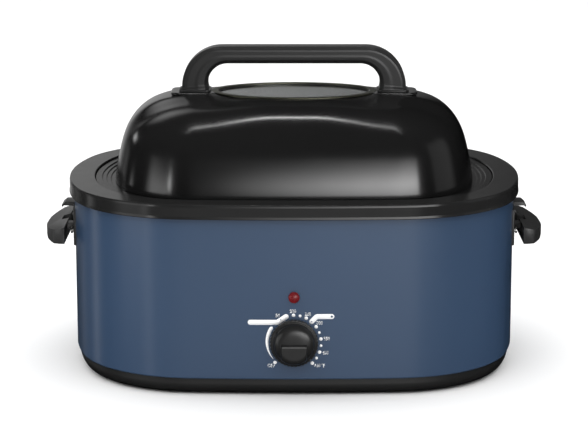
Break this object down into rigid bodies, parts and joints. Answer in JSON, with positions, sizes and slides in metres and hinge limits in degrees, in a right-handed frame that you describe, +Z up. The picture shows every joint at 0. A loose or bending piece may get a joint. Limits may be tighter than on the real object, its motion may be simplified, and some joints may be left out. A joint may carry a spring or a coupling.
{
  "type": "electric roaster oven",
  "caption": "Oval electric roaster oven: painted steel body, black collar, lift-out pan and rack, domed lid with window and arch handle, side handles and a temperature knob.",
  "frame": {"origin": "centre of the body's footprint, on the table; the base's underside lies 1 mm above it, on four rubber feet", "axes": "+Z up; +X to the right of the knob, as seen by the user; the knob faces -Y"},
  "size_m": [0.56, 0.4007, 0.3524],
  "materials": {
    "blue_paint": "semi-gloss slate blue",
    "black_moulding": "satin black",
    "black_rubber": "matt black",
    "zinc": "zinc plate",
    "bare_steel": "aluminised steel",
    "mica": "mica wrap",
    "glass_fibre": "needled glass fibre",
    "white_ceramic": "glazed steatite",
    "red_lens": "clear red",
    "white_plastic": "natural nylon",
    "bulb_glass": "clear",
    "lead_black": "silicone sleeve",
    "lead_white": "glass sleeve",
    "lead_red": "silicone sleeve",
    "knob_plastic": "semi-gloss black",
    "pan_enamel": "satin black enamel",
    "rack_wire": "chromed wire",
    "lid_enamel": "semi-gloss black enamel",
    "window_glass": "tempered",
    "ring_steel": "dark tinted rim",
    "handle_plastic": "satin black"
  },
  "bodies": {
    "housing": {"housing_wall": "blue_paint", "rear_panel": "blue_paint", "base_pan": "black_moulding", "rubber_feet": "black_rubber", "base_screws": "zinc", "well_standoffs": "bare_steel", "top_collar": "black_moulding", "cooking_well": "bare_steel", "heating_band": "mica", "band_clamp_screw": "zinc", "insulation_blanket": "glass_fibre", "thermostat_bracket": "zinc", "thermostat_body": "white_ceramic", "thermostat_screws": "zinc", "lamp_lens": "red_lens", "lamp_holder": "white_plastic", "neon_bulb": "bulb_glass", "cord_bushing": "black_rubber", "terminal_block": "white_plastic", "terminal_screws": "zinc", "supply_leads": "lead_black", "heater_leads": "lead_white", "lamp_leads": "lead_red", "left_handle_bracket": "black_moulding", "left_handle_grip": "black_moulding", "left_handle_screws": "zinc", "right_handle_bracket": "black_moulding", "right_handle_grip": "black_moulding", "right_handle_screws": "zinc"},
    "knob": {"temperature_knob": "knob_plastic", "knob_spring_clip": "zinc", "thermostat_shaft": "bare_steel"},
    "pan": {"roasting_pan": "pan_enamel"},
    "rack": {"rack_frame": "rack_wire", "rack_cross_wires": "rack_wire", "rack_lift_handles": "rack_wire"},
    "lid": {"lid_dome": "lid_enamel", "window_glass": "window_glass", "window_ring": "ring_steel", "window_gasket": "black_rubber", "lid_handle": "handle_plastic", "handle_seats": "handle_plastic", "lid_handle_screws": "zinc"}
  },
  "joints": [
    {"name": "knob_turn", "type": "hinge", "parent": "housing", "child": "knob", "pos_m": [0, -0.1875, 0.0602], "axis": [0, 1, 0], "range_deg": [-135.6, 137.5]},
    {"name": "pan_lift", "type": "slide", "parent": "housing", "child": "pan", "axis": [0, 0, 1], "range_m": [0, 0.18]},
    {"name": "rack_lift", "type": "slide", "parent": "pan", "child": "rack", "axis": [0, 0, 1], "range_m": [0, 0.15]},
    {"name": "lid_lift", "type": "slide", "parent": "pan", "child": "lid", "axis": [0, 0, 1], "range_m": [0, 0.16]}
  ]
}
